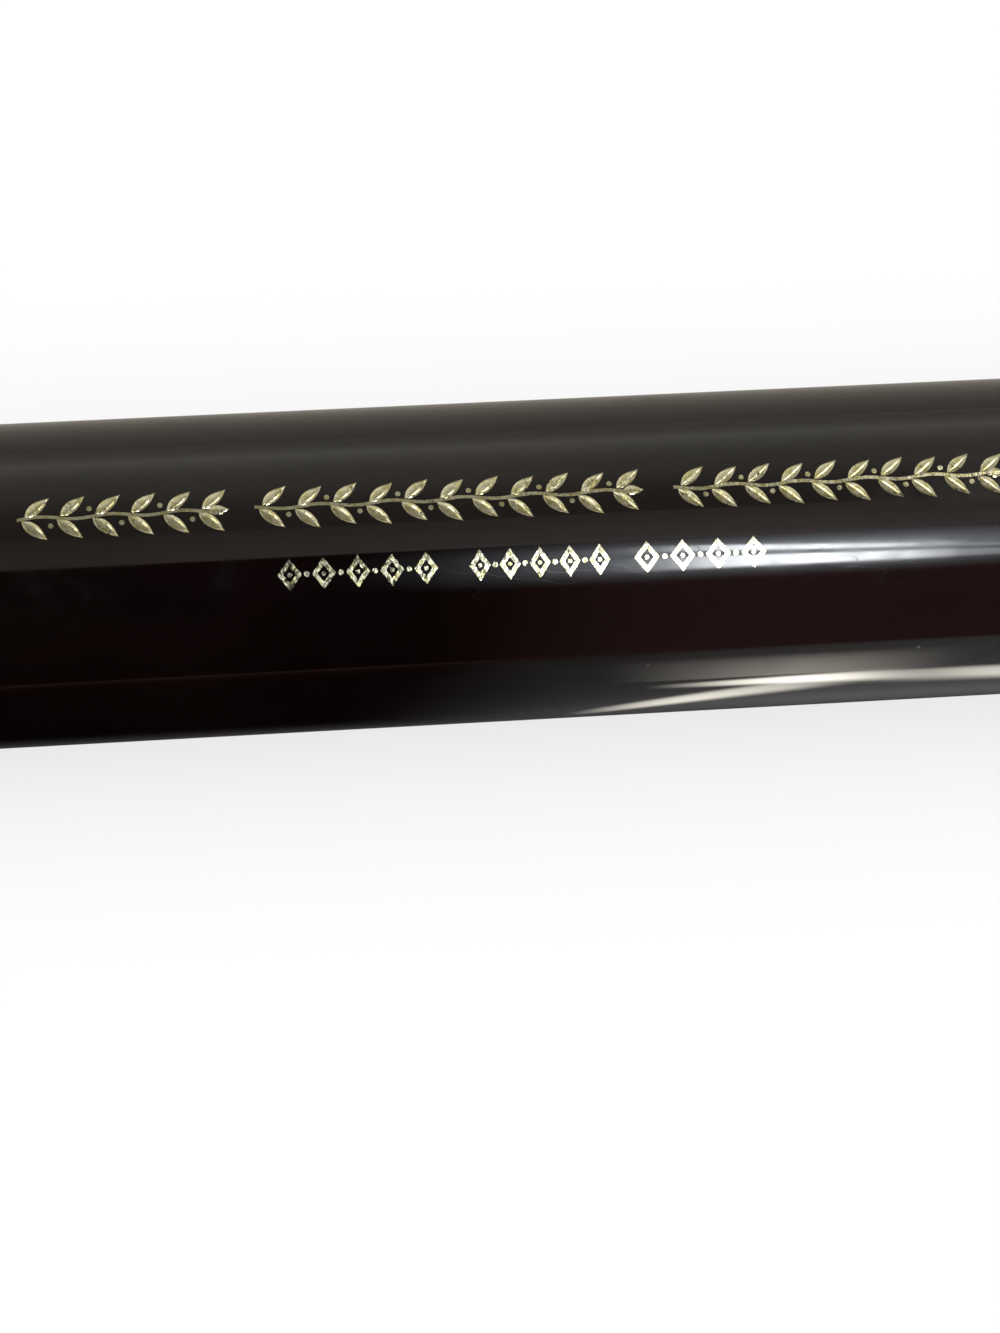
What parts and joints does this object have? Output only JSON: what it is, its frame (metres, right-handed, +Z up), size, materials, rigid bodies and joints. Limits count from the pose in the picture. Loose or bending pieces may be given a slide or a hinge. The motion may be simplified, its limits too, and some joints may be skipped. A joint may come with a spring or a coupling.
{
  "type": "kohl liner",
  "caption": "Slim round twist-up kohl liner in glossy dark lacquer: turning base, barrel with a gold foil ornament, pull-off cap, and the spiral mechanism that feeds the stick.",
  "frame": {"origin": "centre of the bounding box at its lowest point: the line on the table under the middle of the closed liner, which lies on its side", "axes": "+X along the liner from the turning base to the cap's closed end, +Z up, square to the table"},
  "size_m": [0.134, 0.0096, 0.0096],
  "materials": {
    "lacquer": "glossy clear-coated dark plum-brown lacquer on drawn aluminium",
    "gold_anodised": "gold anodised, satin",
    "black_moulding": "satin moulded plastic",
    "shade_moulding": "glossy taupe moulded plastic",
    "natural_moulding": "unpainted moulded plastic",
    "spiral_moulding": "self-lubricating moulded plastic",
    "seal_rubber": "soft rubber",
    "kohl": "soft waxy kohl, satin"
  },
  "bodies": {
    "barrel": {"barrel_shell": "lacquer", "inner_barrel": "natural_moulding", "neck_collar": "gold_anodised", "neck_seal_ring": "seal_rubber", "nozzle": "black_moulding", "guide_fork": "natural_moulding"},
    "base": {"base_shell": "lacquer", "base_core": "natural_moulding", "brake_ring": "seal_rubber", "end_plug": "shade_moulding", "spiral_sleeve": "spiral_moulding"},
    "stick": {"lead_carrier": "natural_moulding", "kohl_lead": "kohl"},
    "cap": {"cap_shell": "lacquer", "cap_liner": "black_moulding"}
  },
  "joints": [
    {"name": "base_twist", "type": "hinge", "parent": "barrel", "child": "base", "pos_m": [-0.0595, 0, 0.0048], "axis": [1, 0, 0], "range_deg": [0, 720]},
    {"name": "stick_feed", "type": "slide", "parent": "barrel", "child": "stick", "axis": [1, 0, 0], "range_m": [0, 0.021]},
    {"name": "cap_pull", "type": "slide", "parent": "barrel", "child": "cap", "axis": [1, 0, 0], "range_m": [0, 0.06]}
  ],
  "couplings": [
    {"joint": "stick_feed", "follows": "base_twist", "m_per_rad": 0.0016711}
  ]
}
